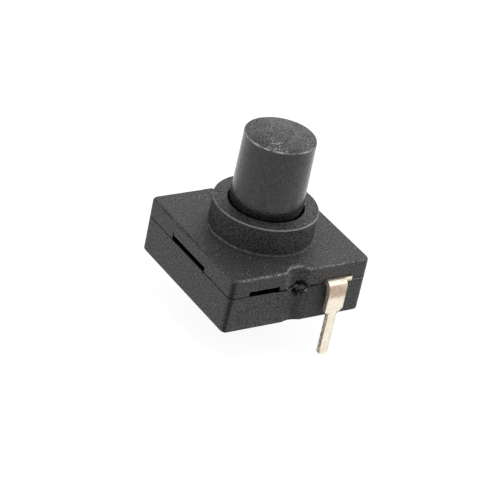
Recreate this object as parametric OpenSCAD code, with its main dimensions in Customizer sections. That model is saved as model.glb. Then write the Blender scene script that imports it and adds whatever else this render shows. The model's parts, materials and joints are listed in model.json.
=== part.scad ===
// Self-locking push button switch: a square moulded case with a round collar,
// a latching button and two bent solder terminals. Sizes are in millimetres.
// The origin is the centre of the base's underside, and Z runs along the button.

/* [Case] */
// Side of the square case
case_w = 12; // [11.6:0.1:14]
// Height of the case's top face over its underside
case_h = 4.5; // [4.4:0.1:6]
// Height of the cover's walls, down from the top face to the base
cover_h = 1.5; // [1.3:0.05:1.7]
// Thickness of the side walls
wall = 0.8; // [0.7:0.05:0.9]
// Thickness of the base's floor
floor_t = 0.5; // [0.4:0.05:0.55]
// Thickness of the cover's roof
roof_t = 0.65; // [0.5:0.05:0.7]
// Radius of the case's upright corners
corner_r = 0.55; // [0.2:0.05:0.8]
// Radius of the case's top edges
top_edge_r = 0.25; // [0.1:0.05:0.5]
// Radius of the case's bottom edges
bottom_edge_r = 0.2; // [0.05:0.05:0.4]
// Depth of the fine seam along the parting plane
seam_d = 0.12; // [0.02:0.01:0.2]
// Height of the fine seam
seam_h = 0.07; // [0.02:0.01:0.1]
// Diameter of the pegs that locate the cover
peg_d = 0.8; // [0.6:0.1:1]
// Height of the pegs over the parting plane
peg_h = 0.55; // [0.3:0.05:0.65]
// Side of the corner posts that carry the pegs
post_w = 1.4; // [1.2:0.1:1.6]
// Inward lean of the base's wall beside the weld, at its foot
wall_lean = 0.2; // [0:0.05:0.3]

/* [Windows and weld marks] */
// Height of the windows in the cover's lower edge
window_h = 0.4; // [0.36:0.02:0.6]
// Length of the windows in the left and right walls
side_window_l = 4.6; // [3:0.1:5.5]
// Shift of the side windows along the wall
side_window_shift = 0.05; // [-0.3:0.05:0.3]
// Length of the spare terminal windows
spare_window_l = 2.6; // [2:0.1:2.8]
// Distance of the spare windows from the side walls
spare_window_side = 0.8; // [0.5:0.1:1.2]
// Side of the small notches at the side windows' ends
notch = 0.14; // [0.05:0.01:0.2]
// Radius of the welding tip's mark where it meets the top face
weld_r = 1.15; // [0.9:0.05:1.3]
// Depth of the welding tip's mark in the top edge
weld_depth = 0.6; // [0.3:0.05:0.65]
// Sideways place of the welding tip's mark
weld_x = -0.33; // [-0.6:0.01:0.4]
// Height of the welding tip's mark, down from the top face
weld_h = 2.05; // [1.8:0.05:2.4]
// Narrowing of the welding tip for each millimetre of depth
weld_taper = 0.163; // [0.05:0.01:0.3]
// Radius of the soft lip where the mark meets the top face
weld_lip_r = 0.25; // [0.1:0.05:0.4]
// Radius of the pit that the tip melted across the parting line
pit_r = 0.72; // [0.3:0.02:0.8]
// Depth of the pit below the wall's face
pit_depth = 0.7; // [0.62:0.02:0.72]
// Sideways shift of the pit from the middle of the mark
pit_shift = 0.43; // [-0.2:0.01:0.5]
// Depth of the pit's middle below the parting plane
pit_sink = 0.13; // [0:0.01:0.3]
// Half the width of the groove below the weld
groove_half_w = 1; // [0.4:0.05:1.2]
// Depth of the groove below the weld
groove_depth = 0.32; // [0.1:0.02:0.4]
// Sideways place of the groove below the weld
groove_x = -0.15; // [-0.4:0.05:0.5]

/* [Collar and guide sleeve] */
// Width of the top face beside the collar
collar_margin = 2.025; // [1.6:0.025:2.1]
// Height of the collar over the case's top face
collar_h = 2.2; // [2.1:0.1:3.5]
// Depth of the guide grooves in the wall of the bore
guide_depth = 0.5; // [0.45:0.05:0.6]
// Radial wall of the collar round the grooves
collar_wall = 0.575; // [0.5:0.025:0.65]
// Thickness of the lip that closes the grooves at the top
lip_t = 0.8; // [0.5:0.05:1]
// Width of the guide grooves
guide_w = 1.5; // [1.4:0.05:1.7]
// Radial wall of the sleeve under the roof
sleeve_wall = 0.5; // [0.35:0.05:0.55]
// Radius of the collar's top outer edge
collar_edge_r = 0.1; // [0.05:0.05:0.2]
// Radius at the foot of the collar
collar_root_r = 0.12; // [0.05:0.01:0.3]

/* [Button] */
// Radial gap between the button and the collar's bore
button_clear = 0.15; // [0.1:0.025:0.3]
// Narrowing of the button's radius from the collar up to its rim
button_draft = 0.07; // [0:0.01:0.15]
// Height of the button's rim over the collar
button_rise = 5.67; // [3:0.01:8]
// Rise of the domed top over the rim
dome_rise = 0.22; // [0.05:0.01:0.5]
// Radius of the button's top edge
button_edge_r = 0.12; // [0.08:0.02:0.4]
// Radial wall of the button round the core hole moulded from below
core_wall = 1.1; // [0.9:0.05:1.3]
// Thickness of plastic over the core hole
crown_top_t = 1.4; // [0.8:0.1:2.5]

/* [Latch] */
// Slope of the crown teeth in degrees
tooth_slope = 30; // [28:1:33]
// Slope of the latch ramps in degrees
ramp_slope = 28; // [22:1:32]
// Height of the crown teeth
tooth_h = 0.6; // [0.5:0.02:0.62]
// Turn of the rotor during one press in degrees
press_turn = 15; // [13:0.5:16]
// Upward slip of the rotor's teeth into the crown during one press
slip = 0.4; // [0.38:0.01:0.45]
// Thickness of the rotor's disc below its teeth
rotor_t = 0.44; // [0.35:0.01:0.5]
// Width of the rotor's wings
rotor_wing_w = 0.56; // [0.4:0.02:0.58]
// Radial play of the rotor's centring stem in the core hole
stem_clear = 0.1; // [0.05:0.05:0.4]
// Height of the stem over the rotor's disc
stem_h = 2.2; // [1.5:0.1:4]
// Diameter of the rotor's pivot below its disc
pivot_d = 1.1; // [0.8:0.1:1.4]
// Length of the pivot below the disc
pivot_h = 0.7; // [0.5:0.05:1]

/* [Contacts and spring] */
// Distance of the contacts' middle from the side wall
contact_side = 1.8; // [1.7:0.05:1.9]
// Distance of the contacts' middle from the wall with the terminal
contact_end = 1.6; // [1.4:0.05:1.7]
// Free height over the bridge, under the roof
headroom = 0.3; // [0.25:0.05:0.5]
// Diameter of the contact rivets' heads
contact_d = 1.1; // [0.9:0.05:1.2]
// Diameter of the contact rivets' shanks
shank_d = 0.6; // [0.4:0.05:0.7]
// Height of the fixed contacts' heads
fixed_head_h = 0.15; // [0.1:0.01:0.2]
// Height of the moving contacts' heads
moving_head_h = 0.25; // [0.15:0.01:0.3]
// Height of the moving contacts' riveted ends
rivet_end_h = 0.08; // [0.05:0.01:0.1]
// Thickness of the contact bridge
bridge_t = 0.25; // [0.2:0.01:0.3]
// Width of the bridge's arms
arm_w = 1.2; // [1:0.05:1.25]
// Radial gap between the bridge's middle and the bore
bridge_inset = 1; // [0.7:0.1:1.2]
// Diameter of the spring's wire
wire_d = 0.25; // [0.2:0.01:0.3]
// Distance of the spring's bottom coil inwards from the sleeve's outside
spring_inset = 1.2; // [1.1:0.05:1.5]
// Radial room between the rotor's pivot and the spring's top coil
pivot_room = 0.6; // [0.4:0.05:0.8]
// Number of coils
coils = 4.5; // [3.5:0.5:5.5]
// Width of the ring that holds the spring's bottom coil
seat_ring_w = 0.3; // [0.2:0.05:0.4]
// Height of the ring that holds the spring's bottom coil
seat_ring_h = 0.4; // [0.2:0.05:0.5]
// Diameter of the posts that guide the bridge
guide_post_d = 0.7; // [0.5:0.05:0.75]

/* [Terminals] */
// Thickness of the terminal strip
strip_t = 0.35; // [0.3:0.01:0.38]
// Width of the strip where it leaves the case
strip_w = 2.25; // [2.1:0.05:2.5]
// Distance of the strip's outer edge from the side wall
strip_side = 0.75; // [0.5:0.05:0.9]
// Margin of the contact pad round the rivet's head
pad_margin = 0.3; // [0.2:0.05:0.35]
// Gap between the wall and the terminal's blade
stand_off = 0.35; // [0.25:0.05:0.6]
// Inner radius of the outer bend
bend_r = 0.2; // [0.1:0.05:0.24]
// Inner radius of the folds inside the case
fold_r = 0.05; // [0.03:0.01:0.1]
// Width of the blade below the bend
blade_w = 1.52; // [1.2:0.02:1.6]
// Width of the unbent end beside the blade
blade_step = 0.65; // [0.5:0.05:0.8]
// Height of the pin's root over the seat
shoulder_z = 0.55; // [0.3:0.05:1]
// Height of the slanted shoulder over the pin's root
shoulder_h = 0.5; // [0.2:0.05:0.7]
// Width of the slanted shoulder
shoulder_w = 0.45; // [0.2:0.05:0.6]
// Width of the solder pin
pin_w = 0.74; // [0.5:0.02:0.9]
// Length of the front pin below the seat
pin_drop = 3; // [2:0.1:5]
// Length of the back pin below the seat, cut shorter
back_pin_drop = 2.5; // [2:0.1:5]
// Radius of the corners of the pin's tip
pin_tip_r = 0.2; // [0.1:0.02:0.34]
// Length of the strip's unbent edge outside the wall
ledge = 0.2; // [0.1:0.02:0.3]

/* [Hidden] */

$fn = 96;
// Running clearance between moving pieces
gap = 0.05;
// Overshoot of a cut past the face it opens
over = 1;
// Clearance left between teeth, ramps and wings that mesh
mesh_gap = 0.11;
// Lap of neighbouring latch ramps in degrees
ramp_lap = 1;
// Facets of the button's shallow dome
dome_fn = 4 * $fn;

half_w = case_w / 2;
inner_w = half_w - wall;
roof_z = case_h - roof_t;
parting_z = case_h - cover_h;
collar_r = half_w - collar_margin;
collar_top = case_h + collar_h;
lip_z = collar_top - lip_t;
groove_r = collar_r - collar_wall;
bore_r = groove_r - guide_depth;
sleeve_r = groove_r + sleeve_wall;
wing_r = groove_r - 2 * gap;
ramp_r = wing_r + gap;
button_r = bore_r - button_clear;
core_r = button_r - core_wall;
stem_r = core_r - stem_clear;
rim_z = collar_top + button_rise;

// The contact stack, from the floor up: everything rides on it
pad_top = floor_t + strip_t;
fixed_top = pad_top + fixed_head_h;
bridge_top = roof_z - headroom;
bridge_z = bridge_top - bridge_t;
moving_z = bridge_z - moving_head_h;
rotor_travel = moving_z - fixed_top - gap;
rotor_z = bridge_top + gap;
valley_z = rotor_z + rotor_t;
ridge_z = valley_z + tooth_h;
rotor_wing_z = ridge_z - gap / 2;
crown_z = valley_z + slip + mesh_gap;
notch_z = crown_z + tooth_h;
button_wing_z = ridge_z + slip + 2 * gap;
sleeve_z = ridge_z - rotor_travel + mesh_gap;

// The bridge's arms, the guide grooves and the rotor's wings share one direction
contact_x = inner_w - contact_side;
contact_y = inner_w - contact_end;
arm_angle = atan2(-contact_y, contact_x);
arm_l = norm([contact_x, contact_y]);
guides = 4;
teeth = 2 * guides;
tooth_pitch = 360 / teeth;
rotor_r = (button_r + bore_r) / 2 - gap;
wing_start = -guide_w / 2 + gap;
wing_lead = wing_start + rotor_wing_w;
ridge_angle = asin(wing_lead / wing_r);
groove_angle = asin(guide_w / 2 / groove_r);
stop_angle = tooth_pitch + ridge_angle + ramp_lap;

bridge_r = bore_r - bridge_inset;
spring_bottom_r = sleeve_r - spring_inset;
spring_top_r = pivot_d / 2 + pivot_room + wire_d;

strip_right = inner_w - strip_side;
strip_left = strip_right - strip_w;
blade_right = strip_right - blade_step;
blade_left = blade_right - blade_w;
pin_right = blade_right - shoulder_w;
pin_left = pin_right - pin_w;
blade_y = -half_w - stand_off;
leg_y = -inner_w + fold_r;
pad_r = contact_d / 2 + pad_margin;
peg_at = inner_w - post_w / 2;

plastic = "#3b3b3c";
button_grey = "#464647";
nylon = "#e6e2d6";
bronze = "#c9b48c";
silver = "#d6d4cc";
steel = "#b4b8bc";
tinned = "#d9ccb9";

// Repeats a feature half a turn round the case
module both_sides() {
    children();
    rotate(180) children();
}

// Outline that runs radially: x of the outline is tangential, y is height
module radial(length) {
    rotate([90, 0, 90]) linear_extrude(length) children();
}

module rounded_square(side, r) {
    square([side, side - 2 * r], center = true);
    square([side - 2 * r, side], center = true);
    for (x = [-1, 1], y = [-1, 1]) translate([x, y] * (side / 2 - r)) circle(r);
}

module round_topped(w, h, r) {
    translate([-w / 2, 0]) square([w, h - r]);
    translate([r - w / 2, 0]) square([w - 2 * r, h]);
    for (x = [-1, 1]) translate([x * (w / 2 - r), h - r]) circle(r);
}

// Upright section of the case, or of one corner, with its soft top and bottom edges
module upright_view(w) {
    translate([0, case_h / 2]) round_topped(w, case_h / 2, top_edge_r);
    translate([0, case_h / 2]) mirror([0, 1]) round_topped(w, case_h / 2, bottom_edge_r);
}

// Two crossed bars, and a turned corner in each gap between them
module case_form() {
    side = case_w - 2 * corner_r;
    for (turn = [0, 90]) rotate([90, 0, turn]) linear_extrude(side, center = true)
        upright_view(case_w);
    for (turn = [0 : 90 : 270]) rotate(turn) translate([side, side] / 2)
        rotate_extrude(angle = 90) intersection() {
            upright_view(2 * corner_r);
            square([corner_r, case_h]);
        }
}

module slab(z0, z1) {
    translate([-case_w, -case_w, z0]) cube([2 * case_w, 2 * case_w, z1 - z0]);
}

// Fine seam that both halves share
module seam() {
    difference() {
        slab(parting_z - seam_h / 2, parting_z + seam_h / 2);
        linear_extrude(case_h) rounded_square(case_w - 2 * seam_d, corner_r);
    }
}

// Mark of the hot tip that welds cover to base, and the groove that guides it
module weld_mark() {
    translate([weld_x, -half_w - weld_r + weld_depth, case_h]) rotate_extrude() {
        polygon([[0, -weld_h], [weld_r - weld_h * weld_taper, -weld_h],
                 [weld_r, -weld_lip_r], [weld_r, over], [0, over]]);
        difference() {
            translate([weld_r, -weld_lip_r]) square([weld_lip_r, weld_lip_r + over]);
            translate([weld_r, -weld_lip_r] + [weld_lip_r, 0]) circle(weld_lip_r);
        }
    }
    translate([weld_x + pit_shift, -half_w - pit_r + pit_depth, parting_z - pit_sink]) sphere(pit_r);
}

module weld_groove() {
    r = (groove_half_w * groove_half_w + groove_depth * groove_depth) / (2 * groove_depth);
    translate([groove_x, -half_w - r + groove_depth, -over]) cylinder(r = r, h = parting_z + over);
}

// Wedge that leans the base's wall inwards on one side of the weld
module lean_cut() {
    foot = wall_lean * (parting_z + over) / parting_z;
    translate([-case_w, -half_w, 0]) radial(case_w + groove_x)
        polygon([[0, parting_z], [-over, parting_z], [-over, -over], [foot, -over]]);
}

// Small square notch in a side wall, from x along the wall and z over the parting plane
module side_notch(x, z) {
    rotate(-90) translate([x, -half_w - over, parting_z + z - gap])
        cube([notch, wall + over + gap, notch + 2 * gap]);
}

module guide_posts() {
    side = (arm_w + guide_post_d) / 2 + gap;
    along = sleeve_r - guide_post_d / 2 + 2 * gap;
    rotate(arm_angle) for (s = [-1, 1]) translate([along, s * side, floor_t / 2])
        cylinder(d = guide_post_d, h = sleeve_z - 2 * gap - floor_t / 2);
}

module corner_post(z0, z1) {
    translate([-inner_w - wall / 2, -inner_w - wall / 2, z0])
        cube([post_w + wall / 2, post_w + wall / 2, z1 - z0]);
}

module spring_seat() {
    r = spring_bottom_r + gap;
    translate([0, 0, floor_t / 2]) difference() {
        cylinder(r = r + seat_ring_w, h = floor_t / 2 + seat_ring_h);
        translate([0, 0, floor_t / 2]) cylinder(r = r, h = seat_ring_h + over);
    }
}

module base() {
    color(plastic) difference() {
        union() {
            difference() {
                intersection() {
                    case_form();
                    slab(-over, parting_z);
                }
                translate([0, 0, floor_t]) linear_extrude(case_h)
                    rounded_square(2 * inner_w, corner_r / 2);
            }
            both_sides() {
                corner_post(floor_t / 2, parting_z);
                translate([-peg_at, -peg_at, parting_z - over / 2])
                    cylinder(d = peg_d, h = peg_h + over / 2);
                guide_posts();
            }
            spring_seat();
        }
        seam();
        both_sides() {
            weld_mark();
            weld_groove();
            lean_cut();
            side_notch(side_window_l / 2 - notch - side_window_shift, -notch);
        }
    }
}

module window(x0, x1, h) {
    translate([x0, -half_w - over, parting_z - over])
        cube([x1 - x0, wall + over + gap, h + over]);
}

module side_window() {
    left = -side_window_shift - side_window_l / 2;
    rotate(-90) window(left, left + side_window_l, window_h);
    side_notch(left, window_h);
}

// Collar above the roof, guide sleeve below it
module collar_view() {
    translate([0, sleeve_z]) square([sleeve_r, case_h - sleeve_z - roof_t / 2]);
    translate([0, roof_z]) square([collar_r, collar_top - collar_edge_r - roof_z]);
    translate([0, roof_z]) square([collar_r - collar_edge_r, collar_top - roof_z]);
    translate([collar_r - collar_edge_r, collar_top - collar_edge_r]) circle(collar_edge_r);
    translate([0, case_h - roof_t / 2]) difference() {
        square([collar_r + collar_root_r, roof_t / 2 + collar_root_r]);
        translate([collar_r, roof_t / 2] + [1, 1] * collar_root_r) circle(collar_root_r);
    }
}

module guide_grooves() {
    intersection() {
        translate([0, 0, sleeve_z - over]) cylinder(r = groove_r, h = lip_z - sleeve_z + over);
        for (k = [0 : guides / 2 - 1]) rotate(arm_angle + k * 360 / guides)
            translate([-case_w, -guide_w / 2, sleeve_z - over])
                cube([2 * case_w, guide_w, lip_z]);
    }
}

// One latch ramp: it rises from the sleeve's end between two angles
module ramp(a0, a1) {
    run = 2 * groove_r;
    intersection() {
        translate([0, 0, sleeve_z - over]) cylinder(r = ramp_r, h = collar_top);
        rotate(a0) radial(run)
            polygon([[0, -over + sleeve_z], [run, -over + sleeve_z],
                     [run, sleeve_z + run * tan(ramp_slope)], [0, sleeve_z]]);
        rotate(a1 - 180) translate([-run, 0, 0]) cube([2 * run, run, collar_top]);
    }
}

module latch_ramps() {
    for (k = [0 : guides - 1]) rotate(arm_angle + k * 360 / guides) {
        ramp(groove_angle - ramp_lap, stop_angle);
        ramp(stop_angle - ramp_lap / 2, 360 / guides - groove_angle + ramp_lap);
    }
}

// Slots that let the bridge's arms out of the sleeve and keep the bridge from turning
module arm_slots() {
    w = arm_w + 2 * gap;
    l = 2 * (sleeve_r + 4 * gap);
    rotate(arm_angle) translate([-l / 2, -w / 2, sleeve_z - over])
        cube([l, w, bridge_top + 2 * gap - sleeve_z + over]);
}

module cover() {
    spare_left = spare_window_side - inner_w;
    color(plastic) difference() {
        union() {
            difference() {
                intersection() {
                    case_form();
                    slab(parting_z, case_h + over);
                }
                translate([0, 0, parting_z - over]) linear_extrude(roof_z - parting_z + over)
                    rounded_square(2 * inner_w, corner_r / 2);
            }
            rotate_extrude() collar_view();
            both_sides() corner_post(parting_z, case_h - roof_t / 2);
        }
        translate([0, 0, -over]) cylinder(r = bore_r, h = collar_top + 2 * over);
        guide_grooves();
        latch_ramps();
        arm_slots();
        seam();
        both_sides() {
            weld_mark();
            side_window();
            window(strip_left - gap, strip_right + gap, window_h);
            window(spare_left, spare_left + spare_window_l, window_h);
            translate([-peg_at, -peg_at, parting_z - over])
                cylinder(d = peg_d + 2 * gap, h = peg_h + gap + over);
        }
    }
}

// Half section of the button, before its core hole
module button_view() {
    top_r = button_r - button_draft;
    edge_z = rim_z - button_edge_r;
    dome_at = top_r - button_edge_r;
    dome_r = (dome_at * dome_at + dome_rise * dome_rise) / (2 * dome_rise);
    polygon([[0, crown_z], [button_r, crown_z], [button_r, collar_top], [top_r, edge_z], [0, edge_z]]);
    translate([0, edge_z - button_edge_r]) square([dome_at, 2 * button_edge_r]);
    intersection() {
        translate([dome_at, edge_z]) circle(button_edge_r);
        translate([0, edge_z]) square([button_r, button_edge_r]);
    }
    intersection() {
        translate([0, rim_z + dome_rise - dome_r]) circle(dome_r, $fn = dome_fn);
        translate([0, edge_z]) square([dome_at, dome_rise + button_edge_r]);
    }
}

// V-shaped cut whose point is at height z; side is 1 for a notch from below, -1 from above
module tooth_cut(z, side) {
    w = 2 * button_r;
    far_z = z - side * w * tan(tooth_slope);
    translate([0, 0, z]) rotate([90, 0, 90]) translate([0, 0, core_r / 2])
        linear_extrude(w) polygon([[0, 0], [w, far_z - z], [-w, far_z - z]]);
}

module push_button() {
    color(button_grey) difference() {
        union() {
            rotate_extrude() button_view();
            intersection() {
                translate([0, 0, button_wing_z]) cylinder(r = wing_r, h = lip_z - gap - button_wing_z);
                for (k = [0 : guides / 2 - 1]) rotate(arm_angle + k * 360 / guides)
                    translate([-wing_r, -guide_w / 2 + gap, button_wing_z])
                        cube([2 * wing_r, guide_w - 2 * gap, lip_z]);
            }
        }
        translate([0, 0, crown_z - over]) cylinder(r = core_r, h = rim_z - crown_top_t - crown_z + over);
        for (k = [0 : teeth - 1]) rotate(arm_angle + ridge_angle + press_turn + k * tooth_pitch)
            tooth_cut(notch_z, 1);
    }
}

module rotor_wing() {
    drop = rotor_wing_w * tan(ramp_slope);
    intersection() {
        radial(wing_r + over)
            polygon([[wing_start, rotor_z + gap], [wing_lead, rotor_z + gap],
                     [wing_lead, rotor_wing_z], [wing_start, rotor_wing_z - drop]]);
        difference() {
            translate([0, 0, rotor_z]) cylinder(r = wing_r, h = tooth_h + rotor_t);
            translate([0, 0, rotor_z - over]) cylinder(r = rotor_r - gap, h = 2 * over + tooth_h);
        }
    }
}

module ratchet_rotor() {
    color(nylon) {
        difference() {
            translate([0, 0, rotor_z]) cylinder(r = rotor_r, h = ridge_z - rotor_z);
            for (k = [0 : teeth - 1]) rotate(arm_angle + ridge_angle + (k + 0.5) * tooth_pitch)
                tooth_cut(valley_z, -1);
        }
        for (k = [0 : guides - 1]) rotate(arm_angle + k * 360 / guides) rotor_wing();
        translate([0, 0, rotor_z]) cylinder(r = stem_r, h = rotor_t + stem_h);
        translate([0, 0, rotor_z - pivot_h]) cylinder(d = pivot_d, h = pivot_h + rotor_t / 2);
    }
}

module contact_bridge() {
    color(bronze) translate([0, 0, bridge_z]) linear_extrude(bridge_t) difference() {
        union() {
            circle(bridge_r);
            rotate(arm_angle) {
                square([2 * arm_l, arm_w], center = true);
                for (s = [-1, 1]) translate([s * arm_l, 0]) circle(d = arm_w);
            }
        }
        circle(d = pivot_d + 2 * gap);
        both_sides() translate([contact_x, -contact_y]) circle(d = shank_d);
    }
}

module moving_contact_front() {
    color(silver) translate([contact_x, -contact_y, moving_z]) {
        cylinder(d = contact_d, h = moving_head_h);
        cylinder(d = shank_d, h = moving_head_h + bridge_t + rivet_end_h);
        translate([0, 0, moving_head_h + bridge_t])
            cylinder(d = (contact_d + shank_d) / 2, h = rivet_end_h);
    }
}

module moving_contact_back() {
    rotate(180) moving_contact_front();
}

module fixed_contact_front() {
    color(silver) translate([contact_x, -contact_y, floor_t]) {
        cylinder(d = shank_d, h = strip_t + fixed_head_h);
        translate([0, 0, strip_t]) cylinder(d = contact_d, h = fixed_head_h);
    }
}

module fixed_contact_back() {
    rotate(180) fixed_contact_front();
}

// Conical spring: flat end coils, and a steady rise and taper between them
flat_turn = 0.75;
coil_steps = 22;
wire_sides = 8;
spring_rings = round(coils * coil_steps);
function rise_at(k) = max(0, min(1, (k / coil_steps - flat_turn) / (coils - 2 * flat_turn)));
function coil_r(k) = (1 - rise_at(k)) * spring_bottom_r + rise_at(k) * spring_top_r - wire_d / 2;
function coil_z(k) = floor_t + wire_d / 2
    + rise_at(k) * (bridge_z - floor_t - wire_d);
function wire_point(k, j) =
    let (a = 360 * k / coil_steps, b = 360 * j / wire_sides, r = coil_r(k) + wire_d / 2 * cos(b))
    [r * cos(a), r * sin(a), coil_z(k) + wire_d / 2 * sin(b)];

module return_spring() {
    last = spring_rings * wire_sides;
    points = [for (k = [0 : spring_rings], j = [0 : wire_sides - 1]) wire_point(k, j)];
    sides = [for (k = [0 : spring_rings - 1], j = [0 : wire_sides - 1])
        let (a = k * wire_sides, n = (j + 1) % wire_sides)
        [a + j, a + n, a + wire_sides + n, a + wire_sides + j]];
    start = [for (j = [wire_sides - 1 : -1 : 0]) j];
    end = [for (j = [0 : wire_sides - 1]) last + j];
    color(steel) polyhedron(points, concat(sides, [start, end]));
}

// Quarter of a bent strip; side gives the signs of the quarter that is kept
module quarter_bend(at, r, side) {
    translate(at) intersection() {
        difference() {
            circle(r + strip_t);
            circle(r);
        }
        scale(side) square(r + strip_t);
    }
}

// Side view of the terminal: blade, bend, run over the wall, fold, leg, fold and pad
module strip_view(drop) {
    run_y = blade_y + bend_r;
    leg_end = floor_t + strip_t + fold_r;
    pad_y = leg_y + strip_t + fold_r;
    translate([blade_y - strip_t, -drop]) square([strip_t, drop + parting_z - bend_r]);
    quarter_bend([run_y, parting_z - bend_r], bend_r, [-1, 1]);
    translate([run_y, parting_z]) square([-inner_w - run_y, strip_t]);
    quarter_bend([-inner_w, parting_z - fold_r], fold_r, [1, 1]);
    translate([leg_y, leg_end]) square([strip_t, parting_z - fold_r - leg_end]);
    quarter_bend([pad_y, leg_end], fold_r, [-1, -1]);
    translate([pad_y, floor_t]) square([pad_r - contact_y - pad_y, strip_t]);
}

// Front view of the blank outside the case: blade, shoulders and pin
module blade_outline(drop) {
    bend_z = parting_z - bend_r;
    polygon([[strip_left, case_h], [blade_right, case_h],
             [blade_right, shoulder_z + shoulder_h], [pin_right, shoulder_z],
             [pin_left, shoulder_z], [blade_left, shoulder_z + shoulder_h / 2],
             [blade_left, bend_z - shoulder_h], [strip_left, bend_z]]);
    translate([(pin_left + pin_right) / 2, case_h - over]) mirror([0, 1])
        round_topped(pin_w, case_h - over + drop, pin_tip_r);
}

module pad_outline() {
    translate([contact_x, -contact_y]) circle(pad_r);
    translate([contact_x - pad_r, -half_w]) square([2 * pad_r, half_w - contact_y]);
}

module terminal(drop) {
    color(tinned) difference() {
        intersection() {
            translate([strip_left, 0, 0]) radial(strip_w) strip_view(drop);
            union() {
                translate([0, -half_w - ledge, 0]) rotate([90, 0, 0])
                    linear_extrude(half_w) blade_outline(drop);
                translate([0, -half_w - ledge, pad_top + fold_r])
                    cube([case_w, case_w, case_h]);
                translate([0, leg_y - over, 0]) cube([case_w, over + strip_t + fold_r, case_h]);
                linear_extrude(case_h) pad_outline();
            }
        }
        translate([contact_x, -contact_y, 0]) cylinder(d = shank_d, h = parting_z);
    }
}

module terminal_front() {
    terminal(pin_drop);
}

module terminal_back() {
    rotate(180) terminal(back_pin_drop);
}

base();
cover();
push_button();
ratchet_rotor();
contact_bridge();
moving_contact_front();
moving_contact_back();
return_spring();
terminal_front();
terminal_back();
fixed_contact_front();
fixed_contact_back();
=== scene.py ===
# %% [markdown]
# # A small latching push button switch
# The switch is a 12 mm square of black moulded plastic with a round collar, a tall button and two
# bent solder pins. Its solids come ready made from the CAD model, at their true size and place.
# What is left to do here is what the eye reads first: how the plastic is grained, where it is
# rubbed and where highlights and shade are painted on, what the hot welding tip did to the walls,
# and how dull the plated pins are.

# %% Load the solids
import json
import math

import bpy
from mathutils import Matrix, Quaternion, Vector


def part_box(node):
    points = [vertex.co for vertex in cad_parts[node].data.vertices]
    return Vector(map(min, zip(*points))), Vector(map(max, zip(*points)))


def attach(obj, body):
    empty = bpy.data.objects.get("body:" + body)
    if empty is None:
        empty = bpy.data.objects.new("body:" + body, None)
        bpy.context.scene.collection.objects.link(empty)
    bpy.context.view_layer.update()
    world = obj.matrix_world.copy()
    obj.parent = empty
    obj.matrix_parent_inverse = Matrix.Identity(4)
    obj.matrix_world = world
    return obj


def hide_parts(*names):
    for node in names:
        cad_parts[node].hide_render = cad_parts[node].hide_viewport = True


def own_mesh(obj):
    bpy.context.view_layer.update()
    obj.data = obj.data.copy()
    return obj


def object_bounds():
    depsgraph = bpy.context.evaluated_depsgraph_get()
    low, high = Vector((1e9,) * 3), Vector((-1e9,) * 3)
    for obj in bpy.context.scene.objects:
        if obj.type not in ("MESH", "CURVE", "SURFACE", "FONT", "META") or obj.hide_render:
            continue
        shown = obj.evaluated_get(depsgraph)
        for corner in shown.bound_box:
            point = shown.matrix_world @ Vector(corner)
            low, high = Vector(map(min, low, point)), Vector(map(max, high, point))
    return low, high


MM = 0.001

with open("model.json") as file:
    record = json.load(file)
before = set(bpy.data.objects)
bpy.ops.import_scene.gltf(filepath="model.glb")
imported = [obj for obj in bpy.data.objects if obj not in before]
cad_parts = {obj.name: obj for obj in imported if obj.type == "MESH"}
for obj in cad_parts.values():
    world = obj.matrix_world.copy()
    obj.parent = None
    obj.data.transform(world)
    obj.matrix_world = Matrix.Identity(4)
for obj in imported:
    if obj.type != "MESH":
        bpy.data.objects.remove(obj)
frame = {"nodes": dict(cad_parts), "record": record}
cad_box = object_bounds()
nodes = frame["nodes"]


def in_mm(box):
    """A box's corners in millimetres, rounded to be read."""
    return [[round(c / MM, 2) for c in corner] for corner in box]


print("solids:", len(nodes), "box in mm:", in_mm(cad_box))

# %% [markdown]
# ## The view
# The camera comes first, because every look is judged through it. The photograph was taken from
# the front left, about 31 degrees above the board, with a long lens and the camera rolled by
# 12 degrees. A long lens keeps the square case almost free of perspective. The camera could be
# placed by trying, but it is quicker to name the point it aims at, two angles, the roll and the
# distance.

# %% Camera
AIM = Vector((0.335, 1.07, 1.76)) * MM
AZIMUTH, ELEVATION, ROLL = (math.radians(a) for a in (-38.22, 30.83, 12.36))
DISTANCE = 173.6 * MM
SENSOR = 36.0
LENS = 167.44
CLIP_START = 10 * MM

towards_camera = Vector((math.sin(AZIMUTH) * math.cos(ELEVATION),
                         -math.cos(AZIMUTH) * math.cos(ELEVATION),
                         math.sin(ELEVATION)))
camera_data = bpy.data.cameras.new("camera")
camera_data.sensor_width = SENSOR
camera_data.lens = LENS
camera_data.clip_start = CLIP_START
camera = bpy.data.objects.new("camera", camera_data)
camera.rotation_mode = "QUATERNION"
camera.location = AIM + towards_camera * DISTANCE
camera.rotation_quaternion = (towards_camera.to_track_quat("Z", "Y")
                              @ Quaternion((0, 0, 1), ROLL))
bpy.context.scene.collection.objects.link(camera)
bpy.context.scene.camera = camera
print("camera at mm:", [round(c / MM, 1) for c in camera.location])

# %% [markdown]
# ## Nodes that read like arithmetic
# A procedural material is a formula over the surface. Dozens of Math nodes are hard to read, so
# one small class wraps a socket and gives it Python's operators: `1 - mask` then adds the node.

# %% Wires
SOFT_CORE = 0.25


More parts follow.
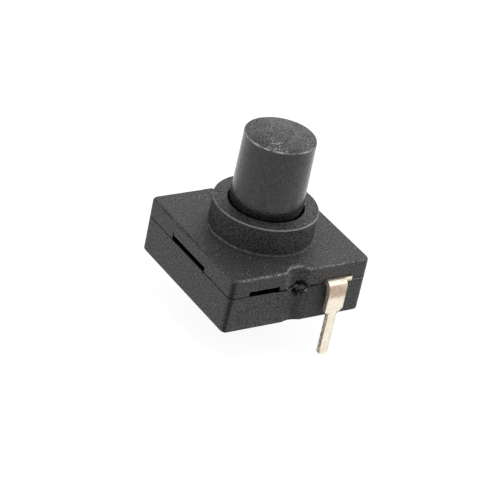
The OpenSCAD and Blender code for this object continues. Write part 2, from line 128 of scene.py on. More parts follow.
class Wire:
    """A socket that a formula can use."""

    def __init__(self, graph, socket):
        self.graph = graph
        self.socket = socket

    def math(self, operation, *values):
        return self.graph.node("ShaderNodeMath", {"operation": operation}, dict(enumerate(values)))

    def __add__(self, other):
        return self.math("ADD", self, other)

    def __sub__(self, other):
        return self.math("SUBTRACT", self, other)

    def __rsub__(self, other):
        return self.math("SUBTRACT", other, self)

    def __mul__(self, other):
        return self.math("MULTIPLY", self, other)

    __radd__ = __add__
    __rmul__ = __mul__

    def absolute(self):
        return self.math("ABSOLUTE", self)

    def ramp(self, low, high):
        """0 below low and 1 above high, with a soft passage; low may be the larger."""
        settings = {"interpolation_type": "SMOOTHSTEP"}
        values = {"Value": self, "From Min": low, "From Max": high}
        return self.graph.node("ShaderNodeMapRange", settings, values)

    def near(self, place, width):
        """1 at a place and 0 beyond a width on either side of it."""
        return (self - place).absolute().ramp(width, width * SOFT_CORE)


print("a wire takes + - * and knows absolute, ramp and near")

# %% [markdown]
# ## One method that makes every node
# Noise, colour mixing and bump are nodes too, but no operator stands for them. A second class
# holds a material's nodes and makes each of them by one method, which takes the node's type, its
# settings and its inputs. It also keeps the place on the surface in millimetres, so the formulas
# below can be written in the sizes that a caliper would give.

# %% Graphs
SPECK_CORE = 0.3


def grey(level, warmth=0.0):
    """A near-grey colour; warmth shifts it from blue to red."""
    return (level * (1 + warmth), level, level * (1 - warmth), 1.0)


DARKNESS = grey(0.002)


class Graph:
    """The nodes of one material or world."""

    def __init__(self, tree):
        self.tree = tree

    @classmethod
    def of_material(cls, name):
        material = bpy.data.materials.new(name)
        material.use_nodes = True
        graph = cls(material.node_tree)
        graph.material = material
        graph.shader = graph.tree.nodes["Principled BSDF"]
        graph.output = graph.tree.nodes["Material Output"].inputs["Surface"]
        place = graph.node("ShaderNodeTexCoord", output="Object")
        graph.place = graph.node("ShaderNodeVectorMath", {"operation": "SCALE"},
                                 {0: place, "Scale": 1 / MM})
        graph.x, graph.y, graph.z = (
            graph.node("ShaderNodeSeparateXYZ", inputs={0: graph.place}, output=k)
            for k in range(3))
        return graph

    def feed(self, socket, value):
        if isinstance(value, Wire):
            self.tree.links.new(value.socket, socket)
        else:
            socket.default_value = value

    def node(self, kind, settings=None, inputs=None, output=0):
        made = self.tree.nodes.new(kind)
        for key, value in (settings or {}).items():
            setattr(made, key, value)
        for key, value in (inputs or {}).items():
            self.feed(made.inputs[key], value)
        return Wire(self, made.outputs[output])

    def noise(self, per_mm, detail=2.0, roughness=0.5, stretch=(1, 1, 1), seed=0.0):
        moved = self.node("ShaderNodeMapping", inputs={
            0: self.place, "Scale": stretch, "Location": (seed, 2 * seed, -seed)})
        return self.node("ShaderNodeTexNoise", inputs={
            "Vector": moved, "Scale": per_mm, "Detail": detail, "Roughness": roughness})

    def specks(self, per_mm, size_mm, seed=0.0):
        """Scattered dots: 1 at their middles."""
        moved = self.node("ShaderNodeMapping", inputs={0: self.place, "Location": (seed,) * 3})
        away = self.node("ShaderNodeTexVoronoi", inputs={"Vector": moved, "Scale": per_mm})
        return away.ramp(size_mm * per_mm, size_mm * per_mm * SPECK_CORE)

    def length(self, *parts):
        total = sum((p * p for p in parts[1:]), parts[0] * parts[0])
        return total.math("SQRT", total)

    def mix(self, factor, low, high):
        """A colour between two colours."""
        return self.node("ShaderNodeMix", {"data_type": "RGBA"},
                         {0: factor, 6: low, 7: high}, output=2)

    def blend(self, factor, low, high):
        """A shader between two shaders."""
        return self.node("ShaderNodeMixShader", inputs={0: factor, 1: low, 2: high})

    def bump(self, height, depth_mm):
        return self.node("ShaderNodeBump", inputs={"Height": height, "Distance": depth_mm * MM})

    def finish(self, **sockets):
        names = {"color": "Base Color", "roughness": "Roughness", "metallic": "Metallic",
                 "normal": "Normal", "specular": "Specular IOR Level"}
        for key, value in sockets.items():
            self.feed(self.shader.inputs[names[key]], value)
        return self.material

    def darken(self, share):
        """Let a lightless black take a share of the surface, gloss included."""
        black = self.node("ShaderNodeBsdfDiffuse", inputs={"Color": DARKNESS})
        shown = Wire(self, self.shader.outputs[0])
        self.feed(self.output, self.blend(share, shown, black))
        return self.material


print("darkness:", DARKNESS)

# %% [markdown]
# ## The places that a finish needs to know
# Rubbed edges with their painted highlights, the painted shade inside a window and in the weld's
# pit all sit at known places of the part, so the finishes ask the solids for their boxes. The few
# sizes that a box doesn't tell, such as the collar's radius, repeat the CAD model's values. The
# switch repeats after half a turn, so one formula serves both of its ends: it works on a sideways
# place that changes sign at the back.

# %% Places
base_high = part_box("base")[1] / MM
cover_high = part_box("cover")[1] / MM
button_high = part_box("push_button")[1] / MM
HALF_CASE = base_high.x
COLLAR_TOP = cover_high.z
COLLAR_R = 3.975
CASE_TOP = 4.5
PARTING = 3.0
WINDOW_TOP = PARTING + 0.4
WELD_X = -0.33
WELD_R = 1.15
WELD_DEPTH = 0.6
WELD_AXIS = HALF_CASE + WELD_R - WELD_DEPTH
PIT = Vector((WELD_X + 0.43, -5.55, PARTING - 0.13))
EDGE_CORE = 0.3
END_STARTS = 5.0
END_SOFT = 0.1


def sideways(g):
    """X seen from the nearer end: the switch repeats after half a turn."""
    return g.x * g.y.math("SIGN", g.y) * -1


def towards(g, side):
    """How far a place lies in a level direction."""
    return g.x * side[0] + g.y * side[1]


def on_end(g, starts=END_STARTS, soft=END_SOFT):
    """1 on the two end walls, where the welds are."""
    return g.y.absolute().ramp(starts, starts + soft)


def edge(g, across, up, width):
    """1 along an edge whose middle lies at no distance across and up."""
    return g.length(across, up).ramp(width, width * EDGE_CORE)


print("case half width, collar top, button top:",
      [round(size, 2) for size in (HALF_CASE, COLLAR_TOP, button_high.z)])

# %% [markdown]
# ## Rubbed edges, painted highlights and molten crumbs
# A black edge that was rubbed shows as a thin pale line, broken where the edge was sheltered, and
# a small rounded edge catches a thin highlight; both are painted here as one pale line. It could
# be
# painted by hand. A formula is steadier: an edge is where two distances are small at once, and
# noise breaks its line up. The case's upper edges, the lip of the weld's mark, the collar's rim
# and foot, a burr on the parting line beside the terminal and the crumbs that the hot tip left on
# the pit's lower lip all get the same pale tone, which is partly wear and partly painted
# highlight;
# the collar's rim is painted brightest at the front, and on the crumbs the pale tone is a painted
# highlight.

# %% Rubbed places, painted highlights and melted crumbs
UPPER_INSET = 0.07
RIM_INSET = 0.03
FOOT_OUTSET = 0.04
MARK_HALF = (0.95, 1.1)
MARK_LIP_STARTS = (-0.95, -0.5)
RIM_FRONT, FOOT_LEFT = (-0.35, -0.94), (-0.94, -0.35)
BURR_X, BURR_DROP, BURR_HALF = 4.8, 0.09, (1.0, 0.7)
LIP_ASIDE, LIP_DROP, LIP_FLATNESS, LIP_HALF = 0.22, 0.17, 3, (0.55, 0.4)


# Painted highlight on the molten crumbs below the pit.
def crumb_highlights(g):
    """1 on the crumbs on the pit's lower lip, which get a painted highlight."""
    away = g.length(sideways(g) - (PIT.x + LIP_ASIDE),
                    (g.z - (PIT.z - LIP_DROP)) * LIP_FLATNESS)
    crumbs = g.noise(4.5, detail=2, roughness=0.7, seed=4.0).ramp(0.46, 0.54)
    return away.ramp(*LIP_HALF) * crumbs * on_end(g)


# Pale edge lines: partly rubbed wear and partly painted highlight.
def wear_and_highlights(g):
    """How pale each place of the case is, from wear and from painted highlights."""
    broken = g.noise(3.2, detail=4, roughness=0.7, seed=9.0).ramp(0.4, 0.62)
    patchy = g.noise(1.1, detail=2, seed=5.0).ramp(0.38, 0.6)
    depth = g.y.absolute()
    aside = sideways(g) - WELD_X
    beside_mark = aside.absolute().ramp(*MARK_HALF)
    up = g.z - (CASE_TOP - UPPER_INSET)
    end_edge = edge(g, depth - (HALF_CASE - UPPER_INSET), up, 0.13) * beside_mark
    side_edge = edge(g, g.x.absolute() - (HALF_CASE - UPPER_INSET), up, 0.1)
    mark_r = g.length(aside, depth - WELD_AXIS)
    mark_lip = (edge(g, mark_r - (WELD_R + UPPER_INSET), up, 0.15) * (1 - beside_mark)
                * aside.ramp(*MARK_LIP_STARTS))
    radius = g.length(g.x, g.y)
    rim = edge(g, radius - (COLLAR_R - RIM_INSET), g.z - (COLLAR_TOP - RIM_INSET), 0.09)
    # The collar rim's painted highlight is strongest at the front.
    rim_front = towards(g, RIM_FRONT).ramp(-1.5, 3.5)
    foot = (edge(g, radius - (COLLAR_R + FOOT_OUTSET), g.z - (CASE_TOP + FOOT_OUTSET), 0.07)
            * towards(g, FOOT_LEFT).ramp(2.0, 4.0))
    burr = (g.z.near(PARTING - BURR_DROP, 0.06)
            * (sideways(g) - BURR_X).absolute().ramp(*BURR_HALF)
            * depth.ramp(HALF_CASE - 0.1, HALF_CASE - 0.05))
    return (end_edge * (broken * 0.45 + patchy * 0.1)
            + burr * (broken * 0.5 + 0.15)
            + side_edge * broken * 0.1
            + mark_lip * (broken * 0.8 + 0.1)
            + rim * (rim_front * 0.4 + broken * 0.15 + 0.05)
            + foot * patchy * 0.2
            + crumb_highlights(g))


print("rubbed: the upper edges,", UPPER_INSET, "mm in, and a burr", BURR_X, "mm off the middle")

# %% [markdown]
# ## The shaded pit
# Where the tip pushed the cover's plastic into the base it left a hole with stringy walls. The
# form is in the mesh, and the hole's darkness is painted shade, made by a mask: a wide dark patch
# above, a narrow throat below it that pale threads cross, and noise that frays both outlines.

# %% Pit
UPPER_SHADE_X, UPPER_SHADE_Z, UPPER_SHADE_SHAPE = PIT.x - 0.1, 3.06, (1.5, 2.7)
THROAT_X, THROAT_Z, THROAT_SHAPE = PIT.x - 0.16, 2.62, (2.0, 2.6)


# Painted shade in the pit: a wide dark patch above and a threaded throat below.
def pit_painted_shade(g):
    """How dark the painted shade in the pit is."""
    ragged = g.noise(2.2, detail=3, roughness=0.6, seed=2.0) * 0.8 - 0.4
    upper_shade = g.length((sideways(g) - UPPER_SHADE_X) * UPPER_SHADE_SHAPE[0],
                      (g.z - UPPER_SHADE_Z) * UPPER_SHADE_SHAPE[1]) + ragged
    throat = g.length((sideways(g) - THROAT_X) * THROAT_SHAPE[0],
                      (g.z - THROAT_Z) * THROAT_SHAPE[1]) + ragged * 0.5
    threads = g.noise(3, detail=3, roughness=0.7, stretch=(3, 3, 0.4), seed=6.0).ramp(0.42, 0.54)
    above = upper_shade.ramp(1.05, 0.5) * 0.75
    below = throat.ramp(1.05, 0.8) * (threads * 0.7 + 0.25)
    return above.math("MAXIMUM", above, below) * on_end(g) * (1 - crumb_highlights(g))


print("pit's middle in mm:", [round(c, 2) for c in PIT])

# %% [markdown]
# ## Dark places: painted shade
# The windows open into the unlit inside of the case, and the parting line is a groove too thin
# for a render to shade. Round corners and the brow above the side walls turn away from the light,
# and a fold runs down from the pit. Each of these gets painted shade from a mask, and the darkest
# of them counts, so masks that overlap don't add up to more than black. The grain's pores join
# in, and the collar's side takes a little of the dark all over.

# %% Painted shade and pores
CORNER_CLEAR = (5.3, 5.1)
WINDOW_CLEAR = (1.3, 1.4)
SKIN_HALF = (1.9, 1.8)
CORNER_INSET, BROW_INSET, BROW_DROP = 0.17, 0.1, 0.08
FOLD_X = PIT.x + 0.1


def on_collar(g):
    """1 on the collar's round side."""
    return ((g.length(g.x, g.y) - COLLAR_R).near(0, 0.1)
            * g.z.ramp(CASE_TOP + 0.05, CASE_TOP + 0.3)
            * g.z.ramp(COLLAR_TOP - 0.08, COLLAR_TOP - 0.2))


# Painted shade in the windows, the pit, the seams, the corners, the brow and the fold.
def shade_and_pores(g, pores):
    """1 inside the windows and the pit, and part of the way in a seam, a corner or a pore: painted
    shade, and the pores' own dark.
    """
    wide, deep = g.x.absolute(), g.y.absolute()
    outward = g.x.math("MAXIMUM", wide, deep)
    aside = (sideways(g) - WELD_X).absolute()
    level = (g.z.ramp(PARTING - 0.045, PARTING - 0.03)
             * g.z.ramp(WINDOW_TOP + 0.06, WINDOW_TOP + 0.02))
    window = (level * outward.ramp(HALF_CASE - 0.025, HALF_CASE - 0.05)
              * g.x.math("MINIMUM", wide, deep).ramp(*CORNER_CLEAR) * aside.ramp(*WINDOW_CLEAR))
    wavy = g.noise(1.5, detail=2, seed=7.0) * 0.1 - 0.05
    skin_seam = ((g.z + wavy).near(PARTING, 0.12) * aside.ramp(*SKIN_HALF)
                 * on_end(g, starts=5.2) * 0.9)
    corner = (edge(g, wide - (HALF_CASE - CORNER_INSET), deep - (HALF_CASE - CORNER_INSET), 0.24)
              * g.z.ramp(CASE_TOP - 0.15, CASE_TOP - 0.3))
    brow = edge(g, wide - (HALF_CASE - BROW_INSET), g.z - (CASE_TOP - BROW_DROP), 0.1)
    uneven = g.noise(0.7, detail=3, roughness=0.6, seed=11.0).ramp(0.35, 0.6)
    on_side = (wide - deep).ramp(-0.1, 0.2)
    side_seam = (g.z.near(PARTING, 0.07)
                 * outward.ramp(HALF_CASE - 0.12, HALF_CASE - 0.06) * on_side)
    fold = (sideways(g) - FOLD_X).near(0, 0.5) * g.z.ramp(2.5, 2.1) * on_end(g)
    darkest = window
    for shade in (pit_painted_shade(g), skin_seam, corner * 0.6, brow * (uneven * 0.3 + 0.25),
                  side_seam * (uneven * 0.5 + 0.45), fold * 0.3,
                  pores * 0.5 + on_collar(g) * 0.15):
        darkest = darkest.math("MAXIMUM", darkest, shade)
    return darkest


print("windows: from", PARTING, "to", WINDOW_TOP, "mm up")

# %% [markdown]
# ## Moulded case plastic
# The case came out of a spark-eroded mould, so its black plastic carries a fine even grain that
# scatters light. Close up it is not one grey: every grain catches light, the edges are rubbed
# paler and carry a painted highlight, the left wall of the weld's mark gets painted light, and a
# few bright specks of dust lie about. A picture of such a grain would blur close up, so it is made
# from noise at the size the photograph shows. The noise is used three times: as height, as a
# change of tone, and for the pores, which mirror nothing. A second, lightless shader stands for
# all that is dark, the pores and the painted shade, wherever its mask asks for it.

# %% Case plastic
GRAIN_DARK, GRAIN_LIGHT = grey(0.004), grey(0.048, 0.01)
PATCH_TONE, LIT_SLOPE_TONE = grey(0.045, 0.01), grey(0.09, 0.01)
RUBBED_AND_HIGHLIGHT_TONE, DUST_TONE = grey(0.42, 0.02), grey(0.55)
CASE_GRAIN_DEPTH = 0.09
CASE_GLOSS = 0.6
SLOPE_X, SLOPE_Z = WELD_X - 0.75, 3.7


def case_plastic():
    g = Graph.of_material("case_plastic")
    grain = g.noise(8, detail=1.5, roughness=0.8)
    patches = g.noise(0.9, detail=3, seed=4.0)
    rubbed_or_lit = wear_and_highlights(g)
    pores = grain.ramp(0.54, 0.36) * (1 - rubbed_or_lit)
    dust = (g.specks(3.2, 0.055, seed=3.0) * g.noise(0.8, seed=1.0).ramp(0.38, 0.56)
            * g.z.ramp(CASE_TOP + 0.2, CASE_TOP + 0.1))
    # Painted light: the left wall of the weld's mark is painted lighter.
    lit_slope = ((sideways(g) - SLOPE_X).near(0, 0.5) * g.z.near(SLOPE_Z, 0.8)
             * on_end(g, soft=0.2))
    color = g.mix(grain.ramp(0.4, 0.66), GRAIN_DARK, GRAIN_LIGHT)
    color = g.mix(patches.ramp(0.4, 0.65) * 0.3, color, PATCH_TONE)
    color = g.mix(lit_slope * 0.8, color, LIT_SLOPE_TONE)
    # Pale edges: wear and painted highlights.
    color = g.mix(rubbed_or_lit, color, RUBBED_AND_HIGHLIGHT_TONE)
    color = g.mix(dust * 0.8, color, DUST_TONE)
    g.finish(color=color, roughness=0.46 - rubbed_or_lit * 0.15 + patches * 0.08,
             normal=g.bump(grain, CASE_GRAIN_DEPTH), specular=CASE_GLOSS)
    return g.darken(shade_and_pores(g, pores))


case_finish = case_plastic()
print("case plastic:", len(case_finish.node_tree.nodes), "nodes")

# %% [markdown]
# ## Button plastic
# The button slides in a bore, so its side is smoother than the case and mirrors the white studio
# in a sheen that brightens towards its flanks. Thumbs have scuffed the top: it is paler and
# cloudy, and pricked with bright nicks where the thumb lands. Along the front the top gets painted
# shade, and the front rim gets a broken pale line that is partly wear and partly painted
# highlight.

# %% Button plastic
BUTTON_R = 2.68
RIM_Z = button_high.z - 0.22
RIM_ROUND = 0.04
FRONT_SIDE = (-0.76, -0.65)
SCUFF_PLACE, SCUFF_SHAPE = (-1.3, -1.6), (1.2, 0.9)
SIDE_DARK, SIDE_LIGHT = grey(0.001), grey(0.02)
CAP_DARK, CAP_LIGHT = grey(0.01), grey(0.09, 0.01)
CAP_FRONT_SHADE, NICK_TONE, RIM_WEAR_AND_HIGHLIGHT_TONE = grey(0.006), grey(0.8), grey(0.7)
BUTTON_GRAIN_DEPTH = 0.05
BUTTON_GLOSS = 0.64


def button_plastic():
    g = Graph.of_material("button_plastic")
    top = g.z.ramp(RIM_Z - 0.1, RIM_Z + 0.01)
    front = towards(g, FRONT_SIDE).ramp(0.2, 2.2)
    scuffed = g.length((g.x - SCUFF_PLACE[0]) * SCUFF_SHAPE[0],
                       (g.y - SCUFF_PLACE[1]) * SCUFF_SHAPE[1]).ramp(1.3, 0.2)
    broken = g.noise(2.2, detail=4, roughness=0.7, seed=3.0).ramp(0.38, 0.62)
    rim = edge(g, g.length(g.x, g.y) - (BUTTON_R - RIM_ROUND), g.z - (RIM_Z - RIM_ROUND), 0.1)
    cloud = g.noise(0.8, detail=4, roughness=0.6, seed=2.0)
    grain = g.noise(8, detail=1.5, roughness=0.8, seed=5.0)
    streaks = g.noise(3, detail=3, stretch=(1, 1, 0.25), seed=7.0)
    nicks = (g.specks(5.4, 0.075, seed=6.0)
             * (g.noise(1.2, seed=8.0) + scuffed * 0.1).ramp(0.42, 0.55))
    side = g.mix((streaks * 0.3 + grain * 0.7).ramp(0.4, 0.66), SIDE_DARK, SIDE_LIGHT)
    cap = g.mix((grain * 0.7 + cloud * 0.3).ramp(0.38, 0.66), CAP_DARK, CAP_LIGHT)
    color = g.mix(top, side, cap)
    # Painted shade along the front of the top.
    color = g.mix(top * front * 0.5, color, CAP_FRONT_SHADE)
    color = g.mix(top * nicks * (scuffed * 0.85 + 0.15), color, NICK_TONE)
    # The front rim's broken pale line: partly wear and partly painted highlight.
    color = g.mix(rim * front * (broken * 0.85 + 0.15), color, RIM_WEAR_AND_HIGHLIGHT_TONE)
    g.finish(color=color, roughness=0.12 + top * 0.36 + cloud * 0.06,
             normal=g.bump(grain * (top * 0.65 + 0.35), BUTTON_GRAIN_DEPTH),
             specular=BUTTON_GLOSS)
    pores = (grain * 0.8 + cloud * 0.2).ramp(0.56, 0.38) * (top * 0.2 + 0.27)
    # The front of the top gets more painted shade, less where it is scuffed.
    return g.darken((pores + top * front * (1 - scuffed) * 0.2) * (1 - top * nicks))


button_finish = button_plastic()
print("button plastic:", len(button_finish.node_tree.nodes), "nodes")

# %% [markdown]
# ## Tinned terminals
# The terminals are stamped from brass strip and tin plated. The plating is dull and slightly
# warm. It is darker and pinkish on the bend, and it is missing along the sheared edges, which
# stay brown with dark flecks. All of this is one metal with four tones, so it is one formula over
# height and sideways place.

# %% Tinned brass
BLADE_X, BLADE_HALF = 3.04, 0.76
PIN_X, PIN_HALF = 2.98, 0.37
SHOULDER_Z = 0.8
BLADE_EDGE_SHARE = 0.45
TIN_DARK, TIN_LIGHT = (0.74, 0.65, 0.51, 1), (0.97, 0.91, 0.8, 1)
BEND_TONE, FLECK_TONE = (0.47, 0.35, 0.28, 1), (0.2, 0.14, 0.09, 1)
SHEARED_TONE = (0.11, 0.08, 0.05, 1)
TIN_GRAIN_DEPTH = 0.012


def cut_edge(g, middle, half):
    """1 on the narrow sides of a strip."""
    return (sideways(g) - middle).absolute().ramp(half - 0.05, half - 0.01)


def tinned_brass():
    g = Graph.of_material("tinned_brass")
    cloud = g.noise(1.4, detail=4, roughness=0.6)
    grain = g.noise(6, detail=3, roughness=0.75, seed=3.0)
    sheared = (cut_edge(g, PIN_X, PIN_HALF) * g.z.ramp(SHOULDER_Z, SHOULDER_Z - 0.1)
               + cut_edge(g, BLADE_X, BLADE_HALF) * g.z.ramp(SHOULDER_Z - 0.1, SHOULDER_Z)
               * g.z.ramp(3.0, 2.85) * BLADE_EDGE_SHARE)
    torn = g.noise(4.5, detail=4, roughness=0.7, stretch=(1, 1, 0.6), seed=8.0).ramp(0.46, 0.6)
    mottled = g.noise(2.6, detail=4, roughness=0.65, seed=9.0) * 0.5 - 0.25
    outside = g.y.absolute().ramp(HALF_CASE - 0.1, HALF_CASE + 0.1)
    bend = (g.z + mottled).ramp(1.75, 2.25) * g.z.ramp(3.2, 3.05) * outside
    flecks = g.specks(3.2, 0.06, seed=2.0) * g.noise(1.8, seed=5.0).ramp(0.45, 0.6)
    color = g.mix((grain * 0.6 + cloud * 0.4).ramp(0.3, 0.7), TIN_DARK, TIN_LIGHT)
    # The bend is darker and pinkish.
    color = g.mix(bend * (cloud * 1.2 + 0.15), color, BEND_TONE)
    color = g.mix(flecks * 0.6, color, FLECK_TONE)
    color = g.mix(sheared * (torn * 0.6 + 0.3), color, SHEARED_TONE)
    return g.finish(color=color, roughness=0.26 + grain * 0.2 + bend * 0.3,
                    metallic=1 - sheared * 0.6, normal=g.bump(grain, TIN_GRAIN_DEPTH))


tin_finish = tinned_brass()
print("tinned brass:", len(tin_finish.node_tree.nodes), "nodes")

# %% [markdown]
# ## Hidden pieces
# The latch, the bridge, the rivets and the spring sit inside the closed case. They are seen only
# when the case is taken off, but each still gets the finish it has on the bench: natural nylon,
# rolled bronze with its rolling lines, bright silver and drawn steel wire. The three metals
# differ only in colour, gloss and the way their lines run, so one function makes them all.

# %% Nylon, bronze, silver and steel
NYLON_DARK, NYLON_LIGHT = (0.66, 0.62, 0.5, 1), (0.82, 0.79, 0.7, 1)
NYLON_GRAIN_DEPTH, METAL_LINE_DEPTH = 0.01, 0.008


def nylon():
    g = Graph.of_material("natural_nylon")
    cloud = g.noise(0.8, detail=3)
    return g.finish(color=g.mix(cloud, NYLON_DARK, NYLON_LIGHT), roughness=0.42 + cloud * 0.12,
                    normal=g.bump(g.noise(7), NYLON_GRAIN_DEPTH))


def metal(name, dark, light, roughness, stretch):
    g = Graph.of_material(name)
    lines = g.noise(3, detail=4, roughness=0.65, stretch=stretch)
    stain = g.noise(1.1, detail=3, seed=4.0)
    color = g.mix(lines * 0.5 + stain * 0.5, (*dark, 1), (*light, 1))
    return g.finish(color=color, roughness=roughness + stain * 0.15, metallic=0.9,
                    normal=g.bump(lines, METAL_LINE_DEPTH))


FINISHES = {
    "case_plastic": case_finish,
    "button_plastic": button_finish,
    "rotor_plastic": nylon(),
    "bridge_bronze": metal("rolled_bronze", dark=(0.5, 0.3, 0.14), light=(0.72, 0.5, 0.28),
                           roughness=0.3, stretch=(6, 1, 1)),
    "contact_silver": metal("contact_silver", dark=(0.62, 0.61, 0.58), light=(0.86, 0.85, 0.82),
                            roughness=0.2, stretch=(1, 1, 1)),
    "spring_steel": metal("spring_steel", dark=(0.36, 0.37, 0.39), light=(0.6, 0.61, 0.63),
                          roughness=0.28, stretch=(1, 1, 4)),
    "tinned_brass": tin_finish,
}

for part in frame["record"]["subparts"]:
    solid = nodes[part["node"]]
    solid.data.materials.clear()
    solid.data.materials.append(FINISHES[part["material_slot"]])
print("finishes:", sorted(FINISHES))

# %% [markdown]
# ## Melted skin of the weld
# A hot tip was pressed into the front and the back wall to fuse the cover to the base. The CAD
# model has its clean mark and the pit. On the real switch the plastic flowed there: the edges are
# soft and wavy, and a ragged crown stands round the pit. Sculpting would do it by hand. Here the
# walls near the mark are copied, cut out, joined with a ring of small lumps, and turned into one
# skin by a voxel remesh, which melts everything together. Voxels can't be smaller than a tenth of
# a millimetre, so the copy is worked on at a thousand times its size. First come a few helpers
# that stand for what the hand does in the window: pick, edit, cut and apply a modifier.

# %% Tools for the skin
SKIN_BOX = ((-1.74, 1.45), (-6.3, -4.85), (1.85, 4.6))
BLOW_UP = 1 / MM
MERGE_MM = 0.002


def pick(*objects):
    """Select these objects only, the last one active."""
    bpy.ops.object.select_all(action="DESELECT")
    for thing in objects:
        thing.select_set(True)
    bpy.context.view_layer.objects.active = objects[-1]


def edit(*steps):
    """Run edit-mode steps on everything in the active object."""
    bpy.ops.object.mode_set(mode="EDIT")
    for step in steps:
        bpy.ops.mesh.select_all(action="SELECT")
        step()
    bpy.ops.object.mode_set(mode="OBJECT")


def cut(axis, at, side):
    """A step that cuts the mesh across an axis and drops what lies beyond, on one side."""
    point, normal = [0.0] * 3, [0.0] * 3
    point[axis], normal[axis] = at, side
    return lambda: bpy.ops.mesh.bisect(plane_co=point, plane_no=normal,
                                       clear_outer=True, use_fill=True)


def modify(kind, **settings):
    """Add a modifier to the active object and apply it."""
    made = bpy.context.object.modifiers.new(kind.lower(), kind)
    for key, value in settings.items():
        setattr(made, key, value)
    bpy.ops.object.modifier_apply(modifier=made.name)


print("skin box in mm:", SKIN_BOX)

# %% [markdown]
# The walls are cut from merged copies of the base and the cover, by six flat cuts that close
# themselves. A boolean with a box would do the same, but it is touchier where faces meet.

# %% Cut the walls out
def wall_block(node):
    """The part of a solid that lies in the skin's box, merged and in millimetres."""
    block = bpy.data.objects.new("block", nodes[node].data.copy())
    bpy.context.scene.collection.objects.link(block)
    block.scale = (BLOW_UP,) * 3
    pick(block)
    bpy.ops.object.transform_apply(location=False, rotation=False, scale=True)
    steps = [lambda: bpy.ops.mesh.remove_doubles(threshold=MERGE_MM)]
    for axis, (low, high) in enumerate(SKIN_BOX):
        steps += [cut(axis, low, -1.0), cut(axis, high, 1.0)]
    edit(*steps)
    return block


blocks = [wall_block("base"), wall_block("cover")]
print("blocks:", [len(b.data.polygons) for b in blocks], "faces")

# %% [markdown]
# The crown is nine flat lumps round the pit, each at its own angle, distance and size, because
# molten plastic doesn't rise evenly. They sit on the wall of the mark, which is a cone that
# narrows downwards. Four more lie below the pit's middle: two flat crumbs and two upright strings.

# %% Ring the pit with lumps
CROWN = [(15, 0.6, 0.12), (48, 0.66, 0.09), (95, 0.62, 0.1), (140, 0.6, 0.13), (185, 0.62, 0.1),
         (222, 0.64, 0.09), (262, 0.66, 0.12), (305, 0.64, 0.13), (338, 0.56, 0.12)]
CRUMBS = [((0.26, -5.62, 2.73), (0.16, 0.07, 0.06)), ((0.52, -5.7, 2.7), (0.13, 0.08, 0.06))]
STRINGS = [((0.02, -5.58, 2.6), (0.05, 0.06, 0.2)), ((-0.16, -5.6, 2.55), (0.05, 0.06, 0.17))]
LUMP_WIDTH, LUMP_DEPTH = 1.4, 0.55
MARK_TAPER = 0.16


def mark_wall(x, z):
    """Y of the clean mark's wall."""
    r = WELD_R - (CASE_TOP - z) * MARK_TAPER
    return math.sqrt(max(0.0, r * r - (x - WELD_X) ** 2)) - WELD_AXIS


def lump(place, size):
    bpy.ops.object.select_all(action="DESELECT")
    bpy.ops.mesh.primitive_ico_sphere_add(subdivisions=3, radius=1.0, location=place)
    made = bpy.context.object
    made.scale = size
    bpy.ops.object.transform_apply(location=True, rotation=True, scale=True)
    return made


lumps = []
for degrees, ring_r, r in CROWN:
    turn = math.radians(degrees)
    x, z = PIT.x + ring_r * math.cos(turn), PIT.z + ring_r * math.sin(turn)
    y = max(mark_wall(x, z), -HALF_CASE)
    lumps.append(lump((x, y, z), (r * LUMP_WIDTH, r * LUMP_DEPTH, r)))
lumps += [lump(place, size) for place, size in CRUMBS + STRINGS]
print("lumps:", len(lumps))

# %% [markdown]
# The voxel remesh makes one closed skin of walls and lumps. Smoothing rounds its steps, as heat
# would, and a displacement by cloudy noise gives the slow ripple of plastic that has set.

# %% Melt them together
VOXEL = 0.032
RIPPLE_SIZE, RIPPLE_DEPTH, RIPPLE_MIDDLE = 0.22, 0.05, 0.15

pick(*lumps, *blocks)
bpy.ops.object.join()
skin = bpy.context.object
skin.name = "weld_skin_front"
modify("REMESH", mode="VOXEL", voxel_size=VOXEL)
modify("SMOOTH", factor=0.5, iterations=7)
ripple = bpy.data.textures.new("ripple", "CLOUDS")
ripple.noise_scale = RIPPLE_SIZE
ripple.noise_depth = 2
modify("DISPLACE", texture=ripple, strength=RIPPLE_DEPTH, mid_level=RIPPLE_MIDDLE,
       texture_coords="LOCAL")
skin.data.transform(skin.matrix_world)
skin.matrix_world.identity()
print("skin:", len(skin.data.polygons), "faces")

# %% [markdown]
# Only the outside of the skin is wanted, and the same skin serves the back wall after half a
# turn. It is brought back to true size by a transform on the whole mesh.

# %% Keep the outside and copy it
INSIDE_FROM_Y = -5.15
INSIDE_BELOW_Z = CASE_TOP - 0.2
FACES_INWARD = 0.75

pick(skin)
bpy.ops.object.mode_set(mode="EDIT")
bpy.ops.mesh.select_all(action="DESELECT")
bpy.ops.object.mode_set(mode="OBJECT")
for face in skin.data.polygons:
    inside = face.center.y > INSIDE_FROM_Y and face.center.z < INSIDE_BELOW_Z
    face.select = inside or face.normal.y > FACES_INWARD
bpy.ops.object.mode_set(mode="EDIT")
bpy.ops.mesh.delete(type="FACE")
bpy.ops.object.mode_set(mode="OBJECT")
bpy.ops.object.shade_smooth()
skin.scale = (MM,) * 3
bpy.ops.object.transform_apply(location=False, rotation=False, scale=True)
skin.data.materials.clear()
skin.data.materials.append(case_finish)

back_skin = bpy.data.objects.new("weld_skin_back", skin.data.copy())
bpy.context.scene.collection.objects.link(back_skin)
pick(back_skin)
back_skin.rotation_euler.z = math.pi
bpy.ops.object.transform_apply(location=False, rotation=True, scale=False)
for piece in (skin, back_skin):
    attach(piece, "housing")
print("skin kept:", len(skin.data.polygons), "faces")

# %% [markdown]
# ## A copy of the spring
# When the button goes down, the bridge presses the spring together. A solid can't do that, so a
# copy of the spring takes its place in the pictures. The bridge's travel is read, but the copy is
# not flattened. The copy is merged first, because a solid from the CAD model comes as loose
# triangles.

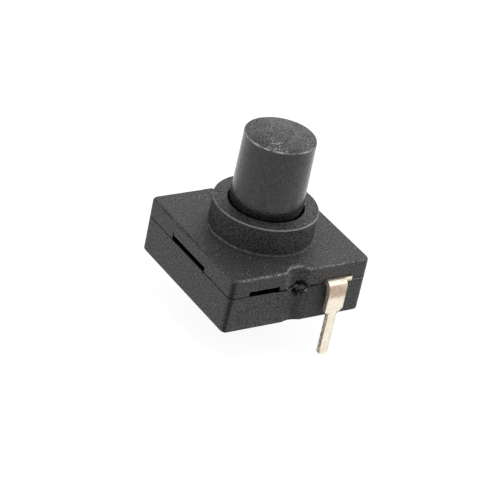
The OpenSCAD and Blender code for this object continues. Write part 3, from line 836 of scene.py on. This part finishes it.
# %% Spring
COIL_MERGE_M = 1e-6
ROUND_BELOW = math.radians(50)

spring_low, spring_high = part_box("return_spring")
spring_h = spring_high.z - spring_low.z
bridge_travel = next(j["range_m"][1] for j in frame["record"]["behaviour"]["joints"]
                     if j["name"] == "bridge_slide")
coil = bpy.data.objects.new("spring_coil", nodes["return_spring"].data.copy())
bpy.context.scene.collection.objects.link(coil)
pick(coil)
edit(lambda: bpy.ops.mesh.remove_doubles(threshold=COIL_MERGE_M))
bpy.ops.object.shade_smooth_by_angle(angle=ROUND_BELOW)
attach(coil, "housing")
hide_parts("return_spring")
(spring_h - bridge_travel) / spring_h
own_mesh(coil)
print("spring in mm:", round(spring_h / MM, 2), "to", round((spring_h - bridge_travel) / MM, 2))

# %% [markdown]
# ## White surroundings
# Black plastic shows little colour of its own: most of what the eye reads on it is the white
# studio mirrored at a slant, so the surroundings matter more than the lamps. The world is plain
# white for rays that come from the camera, a gloss or a glass, and dimmer for the light that it
# casts, which leaves the lamps in charge of the shading.

# %% World
WORLD_FILL = 0.4


def seen(graph):
    """1 for rays from the camera, a gloss or a glass, and 0 for light that falls."""
    path = [graph.node("ShaderNodeLightPath", output=name)
            for name in ("Is Camera Ray", "Is Glossy Ray", "Is Transmission Ray")]
    return path[0].math("MAXIMUM", path[0].math("MAXIMUM", path[0], path[1]), path[2])


world = bpy.data.worlds.new("studio")
world.use_nodes = True
bpy.context.scene.world = world
sky = Graph(world.node_tree)
dim = sky.node("ShaderNodeBackground", inputs={"Color": grey(WORLD_FILL)})
white = sky.node("ShaderNodeBackground", inputs={"Color": grey(1.0)})
sky.feed(world.node_tree.nodes["World Output"].inputs[0], sky.blend(seen(sky), dim, white))
print("world: white to the eye,", WORLD_FILL, "to the light")

# %% [markdown]
# ## White paper
# The floor is a sheet of paper at the pins' tips. Most of what is seen of it is an even white
# glow, and the rest is matte paper that still takes the switch's shadow, so the shadow stays
# faint. For the light that falls on it the sheet is a dull grey and throws little back.

# %% Floor
FLOOR_Z = cad_box[0].z
FLOOR_SIZE = 1.2
SHADOW_SHARE = 0.3
GLOW = 1.26
PAPER_TONE, DULL_TONE = grey(0.9), grey(0.25)

bpy.ops.object.select_all(action="DESELECT")
bpy.ops.mesh.primitive_plane_add(size=FLOOR_SIZE, location=(0, 0, FLOOR_Z))
floor = bpy.context.object
floor.name = "floor"
paper = Graph.of_material("white_paper")
dull = paper.node("ShaderNodeBsdfDiffuse", inputs={"Color": DULL_TONE})
matte = paper.node("ShaderNodeBsdfDiffuse", inputs={"Color": PAPER_TONE})
glow = paper.node("ShaderNodeEmission", inputs={"Color": grey(1.0), "Strength": GLOW})
sheet = paper.blend(1 - SHADOW_SHARE, matte, glow)
paper.feed(paper.output, paper.blend(seen(paper), dull, sheet))
floor.data.materials.append(paper.material)
print("floor at mm:", round(FLOOR_Z / MM, 2))

# %% [markdown]
# ## Soft lamps
# Five large lamps stand above, behind and beside the switch, as in a table-top studio, and none
# straight in front, so its front stays darker than its top. Each looks at the part's origin.

# %% Lamps
LAMP_SIZE = 0.20
LAMPS = [
    ("over", (0.0, 0.0, 0.33), 0.18),
    ("back_right", (0.18, 0.14, 0.14), 0.12),
    ("back_left", (-0.15, 0.20, 0.20), 0.06),
    ("right", (0.25, -0.08, 0.08), 0.40),
    ("left", (-0.26, 0.02, 0.10), 0.16),
]
for name, spot, watts in LAMPS:
    lamp = bpy.data.lights.new(name, "AREA")
    lamp.size = LAMP_SIZE
    lamp.energy = watts
    holder = bpy.data.objects.new(name, lamp)
    holder.location = spot
    holder.rotation_mode = "QUATERNION"
    holder.rotation_quaternion = Vector(spot).to_track_quat("Z", "Y")
    bpy.context.scene.collection.objects.link(holder)

bpy.context.scene.view_settings.view_transform = "Standard"
print("lamps:", [name for name, *_ in LAMPS])
